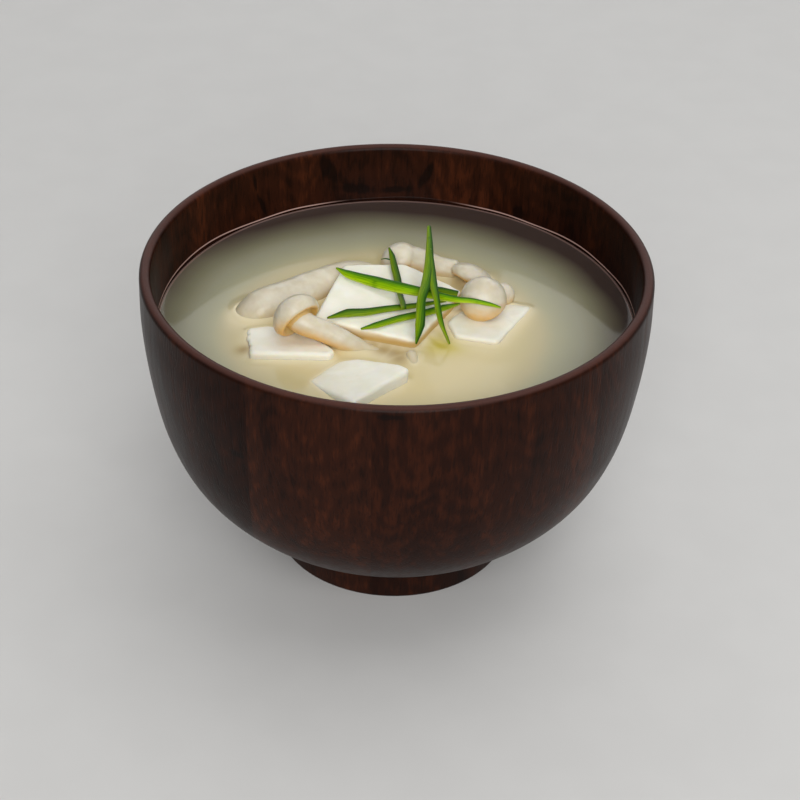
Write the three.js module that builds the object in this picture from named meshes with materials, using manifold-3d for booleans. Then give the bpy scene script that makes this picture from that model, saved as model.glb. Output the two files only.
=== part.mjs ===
// Miso soup in a turned wooden bowl: four pieces of silken tofu, seven pieces of shimeji mushroom
// and six slivers of scallion, in soup that stands a finger's breadth below the rim.
//
// Millimetres, +Z up. The origin is the middle of the foot's underside, so the bowl stands on
// z = 0 and its axis is Z. Heights of the food are given from the soup's level.

import * as THREE from 'three';
import { mergeVertices } from 'three/addons/utils/BufferGeometryUtils.js';
import Module from 'manifold-3d';

const wasm = await Module();
wasm.setup();

// ---- Driving sizes ----

const RIM_RADIUS = 57.5;
const RIM_WALL = 2.6;
const BOWL_HEIGHT = 74.3;
const FOOT_RADIUS = 28.2;
const FOOT_RING = 5;
const FOOT_BAND = 7.2;
const FOOT_CHAMFER = 0.6;
const FOOT_RECESS = 3.2;
const SOUP_LEVEL = 58.8;
const GAP = 0.35;

// The wall's outside and inside, as [height, radius] from the foot up to where the lip starts.
const LIP_START = BOWL_HEIGHT - RIM_WALL / 2;
const OUTSIDE = [
  [8.2, 28.9], [13, 36], [19, 43.4], [27, 49.8], [37, 53.9], [50, 56.4], [63, 57.6],
  [LIP_START, RIM_RADIUS],
];
const INSIDE = [
  [10.8, 9], [12.2, 18.5], [15.6, 27.5], [21.6, 36.6], [30, 44], [41, 49.8], [52, 53], [62, 54.5],
  [LIP_START, RIM_RADIUS - RIM_WALL],
];
const INSIDE_BOTTOM = 10.4;

const AROUND = 56;
const ALONG_WALL = 10;
const MENISCUS_RISE = 0.8;
const MENISCUS_WIDTH = 2.6;

// ---- Tofu ----
// corners are the top face in plan, top is its height at the bowl's axis, slope its rise for
// each millimetre along X and along Y, and depth how far the piece reaches down.

const TOFU = {
  tofu_centre: {
    corners: [[-18.5, -5.8], [4.4, -12.4], [15.3, 8.7], [1.9, 18.2], [-12.6, 16]],
    top: 3.3,
    slope: [-0.052, 0.058],
    depth: 14,
  },
  tofu_left: {
    corners: [[-33.6, -5.8], [-32.2, -17.9], [-14.4, -17.8], [-13.2, -15.6], [-16.8, -10.8], [-28.6, -4]],
    top: 0.2,
    slope: [0, -0.11],
    depth: 11,
  },
  tofu_front: {
    corners: [[-19.3, -25.5], [-9, -37.1], [3.2, -25.2], [1.2, -22.9], [-8.6, -17.4], [-12.4, -17.9]],
    top: 1.15,
    slope: [0.17, -0.085],
    depth: 11,
  },
  tofu_right: {
    corners: [[11.4, -1.8], [13.4, -8], [22.7, -10.6], [31.5, 6.2], [26.6, 7.8], [14.6, 3.6]],
    top: 0.9,
    slope: [0, -0.055],
    depth: 11,
  },
};
const TOFU_EDGE = 0.7;
const TOFU_CORNER = 1.1;

// ---- Mushrooms ----
// stem is the middle line as [x, y, height above the soup] and radii its radius at each point.
// cap.at is the middle of the cap's margin, cap.toward the way its dome points.

const MUSHROOMS = {
  mushroom_left: {
    stem: [
      [-21.9, -9.8, 6.6], [-20.8, -10.9, 6], [-19.2, -11.5, 5.3], [-17, -11.4, 4.4], [-12, -11.6, 1.9],
      [-6.8, -11.6, -1.2], [-3, -12.8, -2.2], [-0.6, -13.8, -2.5],
    ],
    radii: [3.2, 2.9, 2.6, 2.5, 2.4, 2.2, 2.1, 2],
    cap: { at: [-21.2, -10.7, 6], toward: [-0.62, 0.64, 0.46], radius: 5.7, height: 5.8 },
  },
  mushroom_stalk: {
    stem: [
      [-6.6, 21.6, -0.9], [-9.8, 20.7, -0.2], [-14.6, 16.2, 0.4], [-20.3, 10.8, 0.6],
      [-26, 6.2, 0.4], [-30.5, 3.8, -0.4], [-33.4, 2.5, -3], [-35.8, 1.7, -6.2],
    ],
    radii: [2.4, 2.9, 3.9, 4.4, 4.7, 4.9, 4.8, 4.2],
  },
  mushroom_back: {
    stem: [
      [13.4, 21.1, 0.2], [9.7, 21.7, 1], [5.2, 23.2, 1.6], [1.8, 23.2, 2.2],
    ],
    radii: [3, 2.8, 3.3, 3.6],
    cap: { at: [1.2, 23, 0.8], toward: [-0.4, 0.2, 0.85], radius: 4.6, height: 5.4 },
  },
  mushroom_far: {
    stem: [[17.2, 17.4, 1.8], [17.8, 17.6, -2.2]],
    radii: [1.9, 1.9],
    cap: { at: [17.2, 17.2, -0.2], toward: [0.43, 0.43, 0.79], radius: 5.4, height: 4.3 },
  },
  mushroom_right: {
    stem: [[20.2, 3, 4.6], [21, 3.3, 0.4]],
    radii: [2.2, 2.2],
    cap: { at: [20.8, 3.2, 1.7], toward: [-0.39, -0.12, 0.91], radius: 5.4, height: 8 },
  },
  mushroom_small: {
    stem: [[24.6, 9.6, 2], [25.2, 11.8, -2.6]],
    radii: [1.3, 1.3],
    cap: { at: [24.4, 9.6, 0.6], toward: [0.1, -0.3, 0.95], radius: 2.9, height: 3.6 },
  },
  mushroom_tip: {
    stem: [[3.5, -14.6, 0.3], [4.2, -17.6, -1]],
    radii: [1.3, 1.4],
  },
};
// The outline of a cap's hollow, and of its rolled margin and dome, as shares of the cap's
// radius and height.
const CAP_HOLLOW = [[0, 0.24], [0.45, 0.21], [0.66, 0.14], [0.74, 0.05]];
const CAP_DOME = [
  [0.82, 0], [0.9, 0.03], [0.97, 0.15], [1, 0.3], [0.97, 0.46], [0.84, 0.67], [0.6, 0.86], [0.3, 0.97],
  [0, 1],
];
const STEM_SIDES = 12;
const STEM_END = 0.6;
const CAP_SIDES = 16;

// ---- Scallion ----
// path is a sliver's middle line as [x, y, height above the soup], widths its width at each
// point, and lean the angle in degrees by which its flat is turned up about that line. The
// split sliver has a second leg.

const SLIVERS = {
  scallion_split: [
    {
      path: [
        [7.3, 22.8, 11.5], [7.4, 14.3, 10.7], [7.2, 5.9, 9.6], [6.6, 1, 9], [5.6, -4.3, 8.3],
        [5.3, -11.1, 5.9], [4.5, -14.6, 3.2],
      ],
      widths: [0.9, 1.7, 2.4, 2.3, 2, 2.2, 0.4],
      lean: 0,
    },
    {
      path: [
        [7.6, 13.6, 10.7], [8, 6, 9.6], [8.3, 1, 9], [9, -4.2, 8.3], [9.4, -7.2, 7.2], [10.2, -9.8, 5.2],
        [12, -10.9, 0.9],
      ],
      widths: [1, 1.6, 1.8, 1.4, 1.4, 1.1, 0.4],
      lean: 0,
    },
  ],
  scallion_long: [
    {
      path: [
        [-14.1, 13, 5.6], [-11.3, 10.3, 5.7], [-4.7, 6.6, 5.9], [0.6, 3.5, 6.5], [5, 1.8, 6.6],
        [9.7, -0.2, 6.7], [13.8, -1.8, 6.9], [17.2, -2.2, 6.9], [21.1, -2.8, 6.4], [23.5, -2.1, 5.2],
      ],
      widths: [0.4, 1.9, 2.8, 2.7, 2.3, 1.9, 1.4, 1.2, 0.9, 0.4],
      lean: 35,
    },
  ],
  scallion_left: [
    {
      path: [
        [-15.4, -7.2, 4.8], [-10.9, -4.9, 4.7], [-7, -4, 4.5], [-1.9, -2.1, 4.3], [4.3, -0.2, 4.1],
        [11.3, 2.3, 4],
      ],
      widths: [0.4, 2, 1.8, 1.5, 1.2, 0.6],
      lean: 35,
    },
  ],
  scallion_front: [
    {
      path: [
        [-7.8, -10.1, 3.9], [-4.6, -8.8, 4.1], [0.7, -5.8, 4.1], [6.7, -2.8, 3.9], [10.8, -0.6, 3.9],
        [14.4, 0.7, 4.2],
      ],
      widths: [0.4, 1.4, 1.6, 1.6, 1.5, 0.4],
      lean: 35,
    },
  ],
  scallion_short: [
    {
      path: [
        [-2, 20.6, 6.8], [-1.3, 18.2, 6.2], [-0.6, 14.1, 5.4], [0.2, 9.6, 4.7], [0.8, 4, 4.4],
        [1.4, -1.9, 5.8], [1.7, -4.6, 6.1],
      ],
      widths: [0.4, 1.3, 1.7, 1.7, 1.3, 1.3, 1.1],
      lean: 0,
    },
  ],
  scallion_end: [
    {
      path: [[6.5, 7, 4.4], [10, 6.3, 4.2], [14, 5.2, 4]],
      widths: [0.8, 1.8, 1.6],
      lean: 30,
    },
  ],
};
const SLIVER_THICKNESS = 0.6;
const SLIVER_ARCH = 0.12;

// ---- Materials ----

const finish = (color, roughness) => new THREE.MeshStandardMaterial({ color, roughness, metalness: 0 });
const wood = finish(0x3b170e, 0.4);
const broth = finish(0xb8ad84, 0.2);
const curd = finish(0xe9e3d0, 0.5);
const flesh = finish(0xe2d5ba, 0.4);
const leaf = finish(0x4d8f12, 0.45);

// ---- Solids: from three.js geometry to manifold and back ----

function toSolid(geometry) {
  const bare = geometry.clone();
  bare.deleteAttribute('normal');
  bare.deleteAttribute('uv');
  const merged = mergeVertices(bare, 1e-4);
  return new wasm.Manifold(new wasm.Mesh({
    numProp: 3,
    vertProperties: Float32Array.from(merged.attributes.position.array),
    triVerts: Uint32Array.from(merged.index.array),
  }));
}

function toGeometry(solid) {
  const mesh = solid.getMesh();
  const geometry = new THREE.BufferGeometry();
  geometry.setAttribute('position', new THREE.BufferAttribute(mesh.vertProperties, 3));
  geometry.setIndex(new THREE.BufferAttribute(mesh.triVerts, 1));
  geometry.computeVertexNormals();
  return geometry;
}

/** A closed solid through rings of points, each ring with the same number of points. */
function loft(rings) {
  const count = rings[0].length;
  const indices = [];
  for (let i = 0; i + 1 < rings.length; i += 1) {
    for (let j = 0; j < count; j += 1) {
      const a = i * count + j;
      const b = i * count + ((j + 1) % count);
      indices.push(a, b, b + count, a, b + count, a + count);
    }
  }
  const last = (rings.length - 1) * count;
  for (let j = 1; j + 1 < count; j += 1) {
    indices.push(0, j + 1, j, last, last + j, last + j + 1);
  }
  const geometry = new THREE.BufferGeometry().setFromPoints(rings.flat());
  geometry.setIndex(indices);
  return geometry;
}

/** LatheGeometry turns about Y: this stands its axis up along Z. */
function standing(geometry) {
  return geometry.rotateX(Math.PI / 2);
}

/** A point of the food in the part's own frame. */
const overSoup = ([x, y, height]) => new THREE.Vector3(x, y, SOUP_LEVEL + height);

/** The value at t of numbers that are spread evenly from t = 0 to t = 1. */
function between(values, t) {
  const place = t * (values.length - 1);
  const low = Math.min(Math.floor(place), values.length - 2);
  return THREE.MathUtils.lerp(values[low], values[low + 1], place - low);
}

/** Directions across a line that runs along tangent: level, and square to that. */
function across(tangent) {
  const side = new THREE.Vector3(0, 0, 1).cross(tangent).normalize();
  return { side, up: tangent.clone().cross(side) };
}

// ---- The bowl ----

/** Points of a smooth wall through [height, radius] stations, as Vector2(radius, height). */
function wallLine(stations) {
  const line = new THREE.SplineCurve(stations.map(([height, radius]) => new THREE.Vector2(radius, height)));
  return line.getPoints(ALONG_WALL);
}

function makeBowl() {
  const ringInside = FOOT_RADIUS - FOOT_RING;
  const foot = [
    [0, FOOT_RECESS], [ringInside - FOOT_CHAMFER, FOOT_RECESS], [ringInside, 0],
    [FOOT_RADIUS - FOOT_CHAMFER, 0], [FOOT_RADIUS, FOOT_CHAMFER], [FOOT_RADIUS, FOOT_BAND],
  ];
  const lipRadius = RIM_WALL / 2;
  const lip = [30, 60, 90, 120, 150].map((degrees) => {
    const turn = THREE.MathUtils.degToRad(degrees);
    return new THREE.Vector2(
      RIM_RADIUS - lipRadius + lipRadius * Math.cos(turn),
      LIP_START + lipRadius * Math.sin(turn),
    );
  });
  const profile = [
    ...foot.map(([radius, height]) => new THREE.Vector2(radius, height)),
    ...wallLine(OUTSIDE),
    ...lip,
    ...wallLine(INSIDE).reverse(),
    new THREE.Vector2(0, INSIDE_BOTTOM),
  ];
  return toSolid(standing(new THREE.LatheGeometry(profile, AROUND)));
}

// ---- The soup ----

/** The soup before the food is cut out of it: it stands a gap inside the bowl's wall. */
function makeSoup() {
  const wall = wallLine(INSIDE);
  const above = wall.findIndex((point) => point.y > SOUP_LEVEL);
  const { x: lowRadius, y: low } = wall[above - 1];
  const { x: highRadius, y: high } = wall[above];
  const edge = THREE.MathUtils.mapLinear(SOUP_LEVEL, low, high, lowRadius, highRadius) - GAP;
  const wet = wall.slice(0, above).map((point) => new THREE.Vector2(point.x - GAP, point.y + GAP));
  const meniscus = [0, 0.35, 1].map((share) => new THREE.Vector2(
    edge - share * MENISCUS_WIDTH,
    SOUP_LEVEL + MENISCUS_RISE * (1 - share) ** 2,
  ));
  const profile = [
    new THREE.Vector2(0, INSIDE_BOTTOM + GAP), ...wet, ...meniscus, new THREE.Vector2(0, SOUP_LEVEL),
  ];
  return toSolid(standing(new THREE.LatheGeometry(profile, AROUND)));
}

// ---- The food: a solid from each function stands out by grow all round ----

/** A block of tofu with eased edges. */
function makeTofu({ corners, top, slope, depth }, grow) {
  const points = corners.map(([x, y]) => new THREE.Vector2(x, y));
  const shape = new THREE.Shape();
  points.forEach((corner, i) => {
    const toward = (other) => other.clone().sub(corner).setLength(TOFU_CORNER).add(corner);
    const before = toward(points.at(i - 1));
    const after = toward(points[(i + 1) % points.length]);
    if (i === 0) shape.moveTo(before.x, before.y);
    else shape.lineTo(before.x, before.y);
    shape.quadraticCurveTo(corner.x, corner.y, after.x, after.y);
  });
  shape.closePath();
  const geometry = new THREE.ExtrudeGeometry(shape, {
    depth: depth + 2 * grow - 2 * TOFU_EDGE,
    curveSegments: 2,
    bevelThickness: TOFU_EDGE,
    bevelSize: TOFU_EDGE,
    bevelOffset: grow - TOFU_EDGE,
    bevelSegments: 2,
  });
  geometry.translate(0, 0, SOUP_LEVEL + top - depth - grow + TOFU_EDGE);
  const slant = new THREE.Matrix4().set(
    1, 0, 0, 0,
    0, 1, 0, 0,
    slope[0], slope[1], 1, 0,
    0, 0, 0, 1,
  );
  return toSolid(geometry.applyMatrix4(slant));
}

/** A round stem with rounded ends along a smooth line. */
function makeStem(stem, radii, grow) {
  const line = new THREE.CatmullRomCurve3(stem.map(overSoup));
  const steps = Math.max(2 * stem.length, 6);
  const rings = [];
  for (let i = -1; i <= steps + 1; i += 1) {
    const t = THREE.MathUtils.clamp(i / steps, 0, 1);
    const outward = i / steps - t;
    const tangent = line.getTangent(t);
    const { side, up } = across(tangent);
    const radius = (between(radii, t) + grow) * (outward === 0 ? 1 : STEM_END);
    const middle = line.getPoint(t)
      .addScaledVector(tangent, Math.sign(outward) * (STEM_END * radius + grow));
    rings.push(Array.from({ length: STEM_SIDES }, (_, j) => {
      const turn = (2 * Math.PI * j) / STEM_SIDES;
      return middle.clone()
        .addScaledVector(side, radius * Math.cos(turn))
        .addScaledVector(up, radius * Math.sin(turn));
    }));
  }
  return toSolid(loft(rings));
}

/** A domed cap with a rolled-in margin. The room for one is cut with no hollow under it. */
function makeCap({ at, toward, radius, height }, grow) {
  const under = grow > 0 ? [[0, 0]] : CAP_HOLLOW;
  const profile = [...under, ...CAP_DOME].map(([out, along]) => new THREE.Vector2(
    out * (radius + grow),
    along * (height + 2 * grow) - grow,
  ));
  const geometry = standing(new THREE.LatheGeometry(profile, CAP_SIDES));
  const axis = new THREE.Vector3(...toward).normalize();
  geometry.applyQuaternion(new THREE.Quaternion().setFromUnitVectors(new THREE.Vector3(0, 0, 1), axis));
  return toSolid(geometry.translate(...overSoup(at).toArray()));
}

function makeMushroom({ stem, radii, cap }, grow) {
  const stalk = makeStem(stem, radii, grow);
  return cap ? stalk.add(makeCap(cap, grow)) : stalk;
}

/** A sliver of scallion leaf: a thin strip, arched across and drawn out to its ends. */
function makeSliver({ path, widths, lean }) {
  const line = new THREE.CatmullRomCurve3(path.map(overSoup));
  const steps = 3 * (path.length - 1);
  const rings = [];
  for (let i = 0; i <= steps; i += 1) {
    const tangent = line.getTangent(i / steps);
    const turned = Object.values(across(tangent))
      .map((direction) => direction.applyAxisAngle(tangent, THREE.MathUtils.degToRad(lean)));
    const width = between(widths, i / steps);
    const half = Math.min(SLIVER_THICKNESS, width) / 2;
    const arch = SLIVER_ARCH * width;
    const section = [
      [width / 2, -half], [width / 2, half], [0, arch + half],
      [-width / 2, half], [-width / 2, -half], [0, arch - half],
    ];
    rings.push(section.map(([sideways, upward]) => line.getPoint(i / steps)
      .addScaledVector(turned[0], sideways)
      .addScaledVector(turned[1], upward)));
  }
  return toSolid(loft(rings));
}

// ---- Assembly: each piece gives way to those before it, and the soup to them all ----

const object = new THREE.Group();

function addPart(name, solid, material) {
  const mesh = new THREE.Mesh(toGeometry(solid), material);
  mesh.name = name;
  object.add(mesh);
}

addPart('bowl', makeBowl(), wood);

const kinds = [
  { pieces: TOFU, make: makeTofu, material: curd },
  { pieces: MUSHROOMS, make: makeMushroom, material: flesh },
];
const room = [];
for (const { pieces, make, material } of kinds) {
  for (const [name, piece] of Object.entries(pieces)) {
    addPart(name, room.reduce((left, taken) => left.subtract(taken), make(piece, 0)), material);
    room.push(make(piece, GAP));
  }
}
addPart('soup', room.reduce((left, taken) => left.subtract(taken), makeSoup()), broth);

for (const [name, legs] of Object.entries(SLIVERS)) {
  addPart(name, legs.map(makeSliver).reduce((whole, leg) => whole.add(leg)), leaf);
}

export default object;
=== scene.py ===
import math

import bpy
import numpy as np
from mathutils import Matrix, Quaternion, Vector, noise
from mathutils.bvhtree import BVHTree
from mathutils.kdtree import KDTree


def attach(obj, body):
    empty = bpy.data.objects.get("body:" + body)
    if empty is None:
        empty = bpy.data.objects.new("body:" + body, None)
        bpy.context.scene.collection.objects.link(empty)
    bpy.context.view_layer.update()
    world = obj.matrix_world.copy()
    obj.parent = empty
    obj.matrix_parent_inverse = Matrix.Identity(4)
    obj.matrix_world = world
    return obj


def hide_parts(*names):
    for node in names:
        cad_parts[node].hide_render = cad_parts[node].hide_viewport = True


# Miso soup in a lacquered wooden bowl. Sizes are in millimetres, the same as the solids', and
# become metres when a piece is made. Heights of the food are given from the soup's level.

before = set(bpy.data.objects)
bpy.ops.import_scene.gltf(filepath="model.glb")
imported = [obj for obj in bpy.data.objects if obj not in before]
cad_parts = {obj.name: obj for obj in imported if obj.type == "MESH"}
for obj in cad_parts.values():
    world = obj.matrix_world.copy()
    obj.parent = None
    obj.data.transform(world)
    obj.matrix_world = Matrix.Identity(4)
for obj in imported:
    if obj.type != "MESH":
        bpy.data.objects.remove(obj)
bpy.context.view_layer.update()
MM = 0.001

# ---- Sizes of the bowl and the soup ----

RIM_RADIUS = 57.5
RIM_WALL = 2.6
BOWL_HEIGHT = 74.3
FOOT_RADIUS = 28.2
FOOT_RING = 5
FOOT_BAND = 7.2
FOOT_CHAMFER = 0.6
FOOT_RECESS = 3.2
SOUP_LEVEL = 58.8
LIP_START = BOWL_HEIGHT - RIM_WALL / 2
# The wall's outside and inside, as [height, radius] from the foot up to where the lip starts.
OUTSIDE = [
    [8.2, 28.9], [13, 36], [19, 43.4], [27, 49.8], [37, 53.9], [50, 56.4], [63, 57.6],
    [LIP_START, RIM_RADIUS],
]
INSIDE = [
    [10.8, 9], [12.2, 18.5], [15.6, 27.5], [21.6, 36.6], [30, 44], [41, 49.8], [52, 53], [62, 54.5],
    [LIP_START, RIM_RADIUS - RIM_WALL],
]
INSIDE_BOTTOM = 10.4
BOWL_SIDES = 288
WALL_STEPS = 72
LIP_STEPS = 16

# ---- The food, piece by piece as in the solids ----
# Tofu: corners of the top face in plan, its height at the bowl's axis, its rise for each
# millimetre along X and Y, and how deep the piece is. ragged names the side, counted from the
# first corner, that was torn and not cut, and stain_and_shade how strongly the sides turn ochre,
# partly a real stain of the soup and partly painted shade.
TOFU = {
    "tofu_centre": dict(
        corners=[[-18.5, -5.8], [4.4, -12.4], [15.3, 8.7], [1.9, 18.2], [-12.6, 16]],
        top=3.3, slope=[-0.052, 0.058], depth=14, stain_and_shade=1),
    "tofu_left": dict(
        corners=[[-33.6, -5.8], [-32.2, -17.9], [-14.4, -17.8], [-13.2, -15.6], [-16.8, -10.8],
                 [-28.6, -4]],
        top=0.2, slope=[0, -0.11], depth=11, ragged=0, stain_and_shade=0.15),
    "tofu_front": dict(
        corners=[[-19.3, -25.5], [-9, -37.1], [3.2, -25.2], [1.2, -22.9], [-8.6, -17.4],
                 [-12.4, -17.9]],
        top=1.15, slope=[0.17, -0.085], depth=11, stain_and_shade=0.05),
    "tofu_right": dict(
        corners=[[11.4, -1.8], [13.4, -8], [22.7, -10.6], [31.5, 6.2], [26.6, 7.8], [14.6, 3.6]],
        top=0.9, slope=[0, -0.055], depth=11, stain_and_shade=0.3),
}
# A piece that lies wholly under the surface: only the light patch it makes in the soup is seen.
SUNK_TOFU = dict(
    corners=[[6, -12], [9, -27], [24, -24], [25, -13]],
    top=-3.4, slope=[0, 0], depth=6, stain_and_shade=0)
# The stain and painted shade on the sides are at their full up to the first height, and gone from
# the second.
STAIN_AND_SHADE_FADES = [1.2, 4.2]
# How much of the edges round the top and the underside is cut off, and of the corners in plan.
TOFU_EDGE = 0.7
TOFU_CORNER = 1.1
CORNER_STEPS = 4
SIDE_STEPS = 23
# A torn side: how many bites it has, and how deep they are.
TEAR_BITES = 4.6
TEAR_DEPTH = 0.75
# How finely the surface is made again, how often it is smoothed, and its relief's size and height.
TOFU_VOXEL = 0.34
TOFU_SMOOTHING = 3
TOFU_RELIEF = (5.0, 0.16)

# Mushrooms: the stem's middle line as [x, y, height], its radius at each point, and the cap's
# margin centre, the way its dome points, its radius and its height.
MUSHROOMS = {
    "mushroom_left": dict(
        stem=[[-21.9, -9.8, 6.6], [-20.8, -10.9, 6], [-19.2, -11.5, 5.3], [-17, -11.4, 4.4],
              [-12, -11.6, 1.9], [-6.8, -11.6, -1.2], [-3, -12.8, -2.2], [-0.6, -13.8, -2.5]],
        radii=[3.2, 2.9, 2.6, 2.5, 2.4, 2.2, 2.1, 2],
        cap=dict(at=[-21.2, -10.7, 6], toward=[-0.62, 0.64, 0.46], radius=5.7, height=5.8)),
    "mushroom_stalk": dict(
        stem=[[-6.6, 21.6, -0.9], [-9.8, 20.7, -0.2], [-14.6, 16.2, 0.4], [-20.3, 10.8, 0.6],
              [-26, 6.2, 0.4], [-30.5, 3.8, -0.4], [-33.4, 2.5, -3], [-35.8, 1.7, -6.2]],
        radii=[2.4, 2.9, 3.9, 4.4, 4.7, 4.9, 4.8, 4.2]),
    "mushroom_back": dict(
        stem=[[13.4, 21.1, 0.2], [9.7, 21.7, 1], [5.2, 23.2, 1.6], [1.8, 23.2, 2.2]],
        radii=[3, 2.8, 3.3, 3.6],
        cap=dict(at=[1.2, 23, 0.8], toward=[-0.4, 0.2, 0.85], radius=4.6, height=5.4)),
    "mushroom_far": dict(
        stem=[[17.2, 17.4, 1.8], [17.8, 17.6, -2.2]],
        radii=[1.9, 1.9],
        cap=dict(at=[17.2, 17.2, -0.2], toward=[0.43, 0.43, 0.79], radius=5.4, height=4.3)),
    "mushroom_right": dict(
        stem=[[20.2, 3, 4.6], [21, 3.3, 0.4]],
        radii=[2.2, 2.2],
        cap=dict(at=[20.8, 3.2, 1.7], toward=[-0.39, -0.12, 0.91], radius=5.4, height=8)),
    "mushroom_small": dict(
        stem=[[24.6, 9.6, 2], [25.2, 11.8, -2.6]],
        radii=[1.3, 1.3],
        cap=dict(at=[24.4, 9.6, 0.6], toward=[0.1, -0.3, 0.95], radius=2.9, height=3.6)),
    "mushroom_tip": dict(
        stem=[[3.5, -14.6, 0.3], [4.2, -17.6, -1]],
        radii=[1.3, 1.4]),
}
# The outline of a cap's hollow, and of its rolled margin and dome, as shares of the cap's
# radius and height.
CAP_HOLLOW = [[0, 0.24], [0.45, 0.21], [0.66, 0.14], [0.74, 0.05]]
CAP_DOME = [
    [0.82, 0], [0.9, 0.03], [0.97, 0.15], [1, 0.3], [0.97, 0.46], [0.84, 0.67], [0.6, 0.86],
    [0.3, 0.97], [0, 1],
]
HOLLOW_STEPS = 12
DOME_STEPS = 40
# Where the painted shade in the hollow starts to darken it, out from the cap's axis and up from its
# margin, and over what further share of the cap's radius and height it does so.
HOLLOW_SHADE_WIDTH = 0.86
HOLLOW_SHADE_WIDTH_FADE = 0.12
HOLLOW_SHADE_DEPTH = 0.3
HOLLOW_SHADE_DEPTH_FADE = 0.08
# How far the rounded end of a stem stands out, and how wide it is, as a share of the radius.
STEM_END = 0.6
STEM_STEPS = 8
STEM_SIDES = 40
CAP_SIDES = 72
MUSHROOM_VOXEL = 0.22
MUSHROOM_SMOOTHING = 4
MUSHROOM_RELIEF = (3.2, 0.09)

# Scallion: each sliver's middle line as [x, y, height], its width at each point, and the angle
# by which its flat is turned up about that line.
SLIVERS = {
    "scallion_split": [
        dict(path=[[7.3, 22.8, 11.5], [7.4, 14.3, 10.7], [7.2, 5.9, 9.6], [6.6, 1, 9],
                   [5.6, -4.3, 8.3], [5.3, -11.1, 5.9], [4.5, -14.6, 3.2]],
             widths=[0.9, 1.7, 2.4, 2.3, 2, 2.2, 0.4], lean=0),
        dict(path=[[7.6, 13.6, 10.7], [8, 6, 9.6], [8.3, 1, 9], [9, -4.2, 8.3], [9.4, -7.2, 7.2],
                   [10.2, -9.8, 5.2], [12, -10.9, 0.9]],
             widths=[1, 1.6, 1.8, 1.4, 1.4, 1.1, 0.4], lean=0),
    ],
    "scallion_long": [
        dict(path=[[-14.1, 13, 5.6], [-11.3, 10.3, 5.7], [-4.7, 6.6, 5.9], [0.6, 3.5, 6.5],
                   [5, 1.8, 6.6], [9.7, -0.2, 6.7], [13.8, -1.8, 6.9], [17.2, -2.2, 6.9],
                   [21.1, -2.8, 6.4], [23.5, -2.1, 5.2]],
             widths=[0.4, 1.9, 2.8, 2.7, 2.3, 1.9, 1.4, 1.2, 0.9, 0.4], lean=35),
    ],
    "scallion_left": [
        dict(path=[[-15.4, -7.2, 4.8], [-10.9, -4.9, 4.7], [-7, -4, 4.5], [-1.9, -2.1, 4.3],
                   [4.3, -0.2, 4.1], [11.3, 2.3, 4]],
             widths=[0.4, 2, 1.8, 1.5, 1.2, 0.6], lean=35),
    ],
    "scallion_front": [
        dict(path=[[-7.8, -10.1, 3.9], [-4.6, -8.8, 4.1], [0.7, -5.8, 4.1], [6.7, -2.8, 3.9],
                   [10.8, -0.6, 3.9], [14.4, 0.7, 4.2]],
             widths=[0.4, 1.4, 1.6, 1.6, 1.5, 0.4], lean=35),
    ],
    "scallion_short": [
        dict(path=[[-2, 20.6, 6.8], [-1.3, 18.2, 6.2], [-0.6, 14.1, 5.4], [0.2, 9.6, 4.7],
                   [0.8, 4, 4.4], [1.4, -1.9, 5.8], [1.7, -4.6, 6.1]],
             widths=[0.4, 1.3, 1.7, 1.7, 1.3, 1.3, 1.1], lean=0),
        dict(path=[[-1.2, 16.6, 5.9], [-2.8, 16.9, 6.1], [-3.8, 16.9, 5.9]],
             widths=[0.3, 0.22, 0.14], lean=0),
    ],
    "scallion_end": [
        dict(path=[[6.5, 7, 4.4], [10, 6.3, 4.2], [14, 5.2, 4]], widths=[0.8, 1.8, 1.6], lean=30),
    ],
}
# How bright each sliver's green is.
LEAF_TONES = {
    "scallion_split": 0.5, "scallion_long": 0.8, "scallion_left": 0.43,
    "scallion_front": 0.57, "scallion_short": 0.38, "scallion_end": 0.42,
}
SLIVER_THICKNESS = 0.6
# How far a sliver's middle stands up, as a share of its width.
SLIVER_ARCH = 0.12
SLIVER_STEPS = 12
SLIVER_ACROSS = 8

# ---- Lines and meshes, all in millimetres ----


def smooth_line(points, steps):
    """steps + 1 points of a centripetal Catmull-Rom curve through points."""
    through = np.asarray(points, float)
    held = np.vstack([2 * through[0] - through[1], through, 2 * through[-1] - through[-2]])
    gaps = np.sqrt(np.linalg.norm(np.diff(held, axis=0), axis=1))
    line = []
    for place in np.linspace(0, len(through) - 1, steps + 1):
        i = min(int(place), len(through) - 2)
        t = place - i
        before, start, end, after = held[i:i + 4]
        d0, d1, d2 = gaps[i:i + 3]
        leaving = ((start - before) / d0 - (end - before) / (d0 + d1) + (end - start) / d1) * d1
        arriving = ((end - start) / d1 - (after - start) / (d1 + d2) + (after - end) / d2) * d1
        line.append(
            start + t * leaving
            + t ** 2 * (3 * (end - start) - 2 * leaving - arriving)
            + t ** 3 * (2 * (start - end) + leaving + arriving))
    return np.array(line)


def spread(values, steps):
    """Numbers at even places along a line, at steps + 1 places."""
    return np.interp(np.linspace(0, 1, steps + 1), np.linspace(0, 1, len(values)), values)


def over_soup(points):
    return np.asarray(points, float) + [0, 0, SOUP_LEVEL]


def unit(vectors):
    return vectors / np.linalg.norm(vectors, axis=-1, keepdims=True)


def across(line):
    """At each point of a line: its direction, the level way across, and the way square to both."""
    along = unit(np.gradient(line, axis=0))
    side = unit(np.cross([0, 0, 1], along))
    return along, side, np.cross(along, side)


def joined(parts):
    """Several meshes, as (points, faces), as one."""
    points, faces, start = [], [], 0
    for part_points, part_faces in parts:
        points.append(np.asarray(part_points, float))
        faces += [[i + start for i in face] for face in part_faces]
        start += len(part_points)
    return np.vstack(points), faces


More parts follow.
